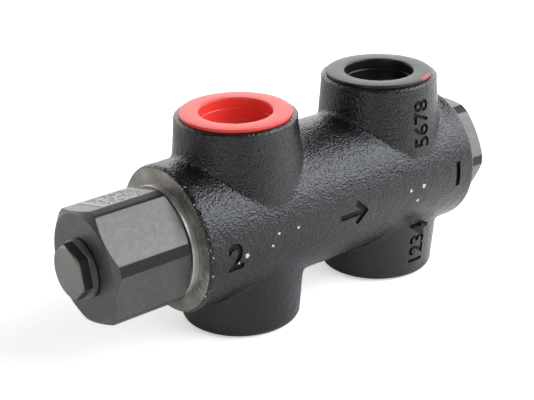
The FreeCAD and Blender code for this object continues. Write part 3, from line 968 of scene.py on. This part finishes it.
def spring_cap(finish):
    shoulder = CAP_RING_LOW.x
    head = hexagon("spring_cap_hexagon", shoulder, CAP_LOW.x, HEX_AF, CAP_FLAT)
    chamfered(head, shoulder, CAP_LOW.x, HEX_TURNED_R, CAP_BACK_FACE_R, HEX_FACE_R)
    nose = [(shoulder - OVERCUT, 0), (shoulder - OVERCUT, END_THREAD_R)]
    nose += [(CAP_HIGH.x - THREAD_LEAD, END_THREAD_R), (CAP_HIGH.x, END_THREAD_R - THREAD_LEAD)]
    nose += [(CAP_HIGH.x, 0)]
    boolean(head, turned("nose", nose), "UNION")
    floor = CAP_LOW.x + CAP_FLOOR
    sink = 0.6 * MM
    chamber = [(CAP_LOW.x - OVERCUT, 0), (CAP_LOW.x - OVERCUT, SIGNAL_THREAD_R + sink + OVERCUT)]
    chamber += [(CAP_LOW.x + sink, SIGNAL_THREAD_R), (floor, SIGNAL_THREAD_R), (floor, BORE_R)]
    chamber += [(CAP_HIGH.x + OVERCUT, BORE_R), (CAP_HIGH.x + OVERCUT, 0)]
    boolean(head, turned("chamber", chamber), "DIFFERENCE")
    return smooth(break_edges(paint(head, finish)), 18)


def end_plug(finish):
    shoulder = END_RING_HIGH.x
    head = hexagon("end_plug_hexagon", shoulder, END_HIGH.x, HEX_AF, END_FLAT)
    chamfered(head, shoulder, END_HIGH.x, HEX_TURNED_R, HEX_TURNED_R, HEX_FACE_R)
    stub = [(shoulder + OVERCUT, 0), (shoulder + OVERCUT, END_THREAD_R)]
    stub += [(END_LOW.x + THREAD_LEAD, END_THREAD_R), (END_LOW.x, END_THREAD_R - THREAD_LEAD)]
    stub += [(END_LOW.x, 0)]
    boolean(head, turned("stub", stub), "UNION")
    dimple = [(END_HIGH.x + OVERCUT, 0), (END_HIGH.x + OVERCUT, DIMPLE_R), (END_HIGH.x - DIMPLE_DEPTH, 0)]
    boolean(head, turned("dimple", dimple), "DIFFERENCE")
    return smooth(break_edges(paint(head, finish)), 18)


def signal_plug(finish):
    collar_end = CAP_LOW.x - SIGNAL_COLLAR_TOP
    head = hexagon("signal_plug_screw", collar_end, SIGNAL_LOW.x, SIGNAL_AF, SIGNAL_FLAT)
    corner_r = SIGNAL_AF / 2 / math.cos(math.radians(30))
    chamfered(head, collar_end, SIGNAL_LOW.x, corner_r, corner_r, SIGNAL_FACE_R)
    seat = CAP_LOW.x - SIGNAL_SEAL_THICK
    foot = collar_end - 0.4 * MM
    collar = [(foot, 0), (foot, SIGNAL_FACE_R - 0.6 * MM)]
    collar += [(collar_end, SIGNAL_FACE_R), (collar_end, SIGNAL_COLLAR_R), (seat, SIGNAL_COLLAR_R)]
    collar += [(seat, SIGNAL_THREAD_R)]
    collar += [(SIGNAL_HIGH.x - THREAD_LEAD, SIGNAL_THREAD_R)]
    collar += [(SIGNAL_HIGH.x, SIGNAL_THREAD_R - THREAD_LEAD)]
    collar += [(SIGNAL_HIGH.x, 0)]
    boolean(head, turned("collar", collar), "UNION")
    return smooth(break_edges(paint(head, finish), SIGNAL_EDGE_BREAK), 18)


def seal_ring(name, low, high, finish):
    """The bonded seal's steel ring, with its edges rolled."""
    outer = (high.y - low.y) / 2
    inner = SEAL_RING_BORE_R
    roll = SEAL_RING_ROLL
    outline = arc(low.x + roll, outer - roll, roll, 180, 90)
    outline += arc(high.x - roll, outer - roll, roll, 90, 0)
    outline += arc(high.x - roll, inner + roll, roll, 0, -90)
    outline += arc(low.x + roll, inner + roll, roll, -90, -180)
    outline.append(outline[0])
    return smooth(paint(turned(name, outline), finish))


def shipping_plug(name, x, finish):
    """A moulded cup with a flange, a ribbed skirt and the nub that its moulding gate left."""
    top = TOP_FACE + FLANGE_THICK
    bottom = TOP_FACE - PLUG_DEPTH
    floor = top - CUP_DEPTH
    ledge = top - STEP_DEPTH
    nub = 0.25 * MM
    corner = 0.6 * MM
    lip = 0.5 * MM
    edge = 0.28 * MM
    bevel = 0.12 * MM
    nick = 0.1 * MM
    slope = 0.3 * MM
    outline = [(floor + GATE_HEIGHT, 0)]
    outline += arc(floor + GATE_HEIGHT - nub, GATE_R - nub, nub, 0, 90, 3)
    outline += [(floor + nub, GATE_R), (floor, GATE_R + nub), (floor, CUP_R - corner)]
    outline += [(floor + corner * 0.3, CUP_R - corner * 0.3), (floor + corner, CUP_R)]
    outline += [(ledge - bevel, CUP_R), (ledge, CUP_R + bevel)]
    outline += [(ledge, MOUTH_R - nick), (ledge + nick, MOUTH_R)]
    outline += arc(top - lip, MOUTH_R + lip, lip, -90, 0)
    outline += arc(top - edge, FLANGE_R - edge, edge, 0, 90, 4)
    outline += [(TOP_FACE + nick, FLANGE_R), (TOP_FACE, FLANGE_R - nick), (TOP_FACE, SKIRT_R)]
    for step in reversed(range(RIB_COUNT)):
        low = bottom + RIB_HEIGHT + RIB_PITCH * step
        high = low + RIB_HEIGHT
        outline += [(high, SKIRT_R), (high - slope, RIB_R), (low + slope, RIB_R), (low, SKIRT_R)]
    outline += [(bottom + slope, SKIRT_R), (bottom, SKIRT_R - slope), (bottom, SKIRT_BORE_R)]
    outline += [(floor - PLUG_FLOOR, SKIRT_BORE_R), (floor - PLUG_FLOOR, 0)]
    return smooth(paint(turned(name, outline, "Z", x), finish))


def coil(name, low, high, wire, turns, finish):
    """A round-wire spring on the valve's axis, closed at both cut ends."""
    mean_r = (high.y - low.y) / 2 - wire / 2
    length = high.x - low.x - wire
    bpy.ops.object.select_all(action="DESELECT")
    bpy.ops.mesh.primitive_circle_add(vertices=WIRE_SIDES, radius=wire / 2, fill_type="NOTHING")
    spring = bpy.context.object
    spring.name = name
    spring.data.name = name
    stand = Matrix.Rotation(math.radians(90), 4, "X")
    place_mesh(spring, Matrix.Translation((mean_r, 0, 0)) @ stand)
    screw = spring.modifiers.new("turns", "SCREW")
    screw.axis = "Z"
    screw.angle = 2 * math.pi * turns
    screw.screw_offset = length
    screw.iterations = 1
    screw.steps = int(COIL_STEPS * turns)
    screw.render_steps = screw.steps
    screw.use_merge_vertices = False
    bpy.ops.object.modifier_apply(modifier=screw.name)
    lay = Matrix.Rotation(math.radians(90), 4, "Y")
    place_mesh(spring, Matrix.Translation((low.x + wire / 2, 0, AXIS_Z)) @ lay)
    bpy.ops.object.mode_set(mode="EDIT")
    bpy.ops.mesh.select_all(action="SELECT")
    bpy.ops.mesh.fill_holes(sides=0)
    bpy.ops.mesh.select_all(action="SELECT")
    bpy.ops.mesh.normals_make_consistent(inside=False)
    bpy.ops.object.mode_set(mode="OBJECT")
    return smooth(paint(spring, finish), 50)


def label_place():
    """The label's centre and three directions: along the valve, across the flat and out of it."""
    along = Vector((1, 0, 0))
    out = flat_direction(CAP_FLAT + 60)
    return middle("cap_label"), along, along.cross(out), out


def cap_label(finish):
    """A thin film with rounded corners on the cap's upper rear flat."""
    centre, along, across, out = label_place()
    size = LABEL_HIGH - LABEL_LOW
    width = size.dot(Vector((0, abs(across.y), abs(across.z)))) - LABEL_MARGIN
    bpy.ops.object.select_all(action="DESELECT")
    bpy.ops.mesh.primitive_plane_add(size=1)
    label = bpy.context.object
    label.name = "cap_label_film"
    label.data.name = "cap_label_film"
    bpy.ops.object.mode_set(mode="EDIT")
    bpy.ops.mesh.select_all(action="SELECT")
    bpy.ops.transform.resize(value=(size.x, width, 1))
    bpy.ops.mesh.bevel(offset=LABEL_CORNER, segments=4, affect="VERTICES")
    bpy.ops.mesh.select_all(action="SELECT")
    bpy.ops.mesh.extrude_region_move(TRANSFORM_OT_translate={"value": (0, 0, LABEL_THICK)})
    bpy.ops.mesh.select_all(action="SELECT")
    bpy.ops.mesh.normals_make_consistent(inside=False)
    bpy.ops.object.mode_set(mode="OBJECT")
    turn = Matrix((along, -across, out)).transposed().to_4x4()
    place_mesh(label, Matrix.Translation(centre - out * LABEL_THICK / 2) @ turn)
    return smooth(paint(label, finish))


# -------------------------------------------------- studio

FLOOR_SIZE = 6.0
FLOOR_GAP = 0.2 * MM


def floor():
    bpy.ops.object.select_all(action="DESELECT")
    bpy.ops.mesh.primitive_plane_add(size=FLOOR_SIZE, location=(0, 0, -FLOOR_GAP))
    ground = bpy.context.object
    ground.name = "studio_floor"
    place_mesh(ground, Matrix.Identity(4))
    paint(ground, studio_floor())


def softbox(name, way, distance, width, height, power, colour):
    """An area light that faces the middle of the valve."""
    light = bpy.data.lights.new(name, "AREA")
    light.shape = "RECTANGLE"
    light.size = width
    light.size_y = height
    light.energy = power
    light.color = colour
    lamp = bpy.data.objects.new(name, light)
    bpy.context.scene.collection.objects.link(lamp)
    way = Vector(way).normalized()
    lamp.location = Vector((0, 0, AXIS_Z)) + way * distance
    lamp.rotation_mode = "QUATERNION"
    lamp.rotation_quaternion = way.to_track_quat("Z", "Y")


def backdrop():
    """Pale surroundings, brighter low down behind the valve than high up or on the camera's side."""
    world = bpy.data.worlds.new("studio")
    world.use_nodes = True
    bpy.context.scene.world = world
    sheet = Sheet(world.node_tree)
    background = world.node_tree.nodes["Background"]
    way = sheet.add("ShaderNodeTexCoord").outputs["Generated"]
    dot = sheet.add("ShaderNodeVectorMath", operation="DOT_PRODUCT")
    sheet.link(way, dot.inputs[0])
    dot.inputs[1].default_value = (0.62, 0.78, 0.0)
    behind = sheet.step(dot.outputs["Value"], -0.1, 0.6)
    parts = sheet.add("ShaderNodeSeparateXYZ")
    sheet.link(way, parts.inputs[0])
    low = sheet.math("SUBTRACT", 1.0, sheet.step(parts.outputs["Z"], 0.46, 0.64))
    seen = sheet.add("ShaderNodeLightPath").outputs["Is Camera Ray"]
    glow = sheet.span(sheet.math("MULTIPLY", behind, low), 0.10, 2.4)
    level = sheet.mix(seen, glow, (0.95, 0.95, 0.95, 1))
    sheet.link(level, background.inputs["Color"])
    background.inputs["Strength"].default_value = 1.0


def lights():
    softbox("key", (0.57, -0.56, 0.60), 0.9, 1.0, 0.7, 11.5, (0.90, 0.94, 1.0))
    softbox("left", (-0.95, -0.35, 0.30), 1.0, 0.5, 0.5, 2.0, (1.0, 0.99, 0.97))


def camera():
    """The camera's angle, distance and lens."""
    azimuth = math.radians(-38.49)
    elevation = math.radians(23.84)
    roll = math.radians(-1.05)
    distance = 0.3835
    target = Vector((-3.7 * MM, 0, AXIS_Z + 1.5 * MM))
    back = Vector((math.sin(azimuth), -math.cos(azimuth), 0)) * math.cos(elevation)
    back.z = math.sin(elevation)
    data = bpy.data.cameras.new("camera")
    data.lens = 86.36
    data.sensor_width = 36
    data.clip_start = 0.01
    view = bpy.data.objects.new("camera", data)
    bpy.context.scene.collection.objects.link(view)
    view.location = target + back * distance
    view.rotation_mode = "QUATERNION"
    view.rotation_quaternion = back.to_track_quat("Z", "Y") @ Quaternion((0, 0, 1), roll)
    bpy.context.scene.camera = view


# -------------------------------------------------- assembly

def ride(piece, body, slot, *nodes):
    """Puts a finished piece in place of its CAD nodes."""
    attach(piece, body)
    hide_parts(*nodes)


def assemble():
    iron = painted_iron()
    bare = machined_iron()
    dark_steel = phosphated_steel()
    zinc = zinc_steel()
    ground = ground_steel()
    spring_wire = ground_steel("spring_steel", 0.20, 0.30, 0.28)
    rubber = nitrile_rubber()
    red = plastic("red_plastic", (0.78, 0.045, 0.035), (0.84, 0.060, 0.045), 0.30)
    black = black_plastic()
    centre, along, across, _ = label_place()

    ride(casting(iron, bare, mark_painted_shade()), "housing", "painted_iron", "valve_body")
    ride(spring_cap(dark_steel), "housing", "phosphated_steel", "spring_cap")
    ride(end_plug(dark_steel), "housing", "phosphated_steel", "end_plug")
    ride(signal_plug(signal_steel_painted_light()), "housing", "phosphated_steel", "signal_plug")
    near_ring = seal_ring("cap_seal_steel", CAP_RING_LOW, CAP_RING_HIGH, zinc)
    ride(near_ring, "housing", "zinc_steel", "cap_seal_ring")
    far_ring = seal_ring("end_seal_steel", END_RING_LOW, END_RING_HIGH, zinc)
    ride(far_ring, "housing", "zinc_steel", "end_seal_ring")
    ride(shipping_plug("red_cup", X_T, red), "red_plug", "red_plastic", "red_port_plug")
    ride(shipping_plug("black_cup", X_P, black), "black_plug", "black_plastic", "black_port_plug")
    ride(cap_label(label_film(centre, along, across)), "housing", "label_film", "cap_label")

    main_coil = coil("control_coil", SPRING_LOW, SPRING_HIGH, CONTROL_WIRE, CONTROL_TURNS, spring_wire)
    ride(main_coil, "housing", "spring_steel", "control_spring")
    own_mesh(main_coil)
    small_coil = coil("pilot_coil", PILOT_LOW, PILOT_HIGH, PILOT_WIRE, PILOT_TURNS, spring_wire)
    ride(small_coil, "spool", "spring_steel", "pilot_spring")
    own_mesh(small_coil)

    for node in ("cap_seal_lip", "end_seal_lip", "signal_plug_seal"):
        paint(NODES[node], rubber)
    for node in ("control_spool", "spool_orifice", "spring_seat", "pilot_seat", "pilot_poppet"):
        paint(NODES[node], ground)
    for node in ("spring_shims", "pilot_shims"):
        paint(NODES[node], spring_wire)


assemble()
floor()
backdrop()
lights()
camera()
bpy.context.scene.view_settings.view_transform = "Standard"
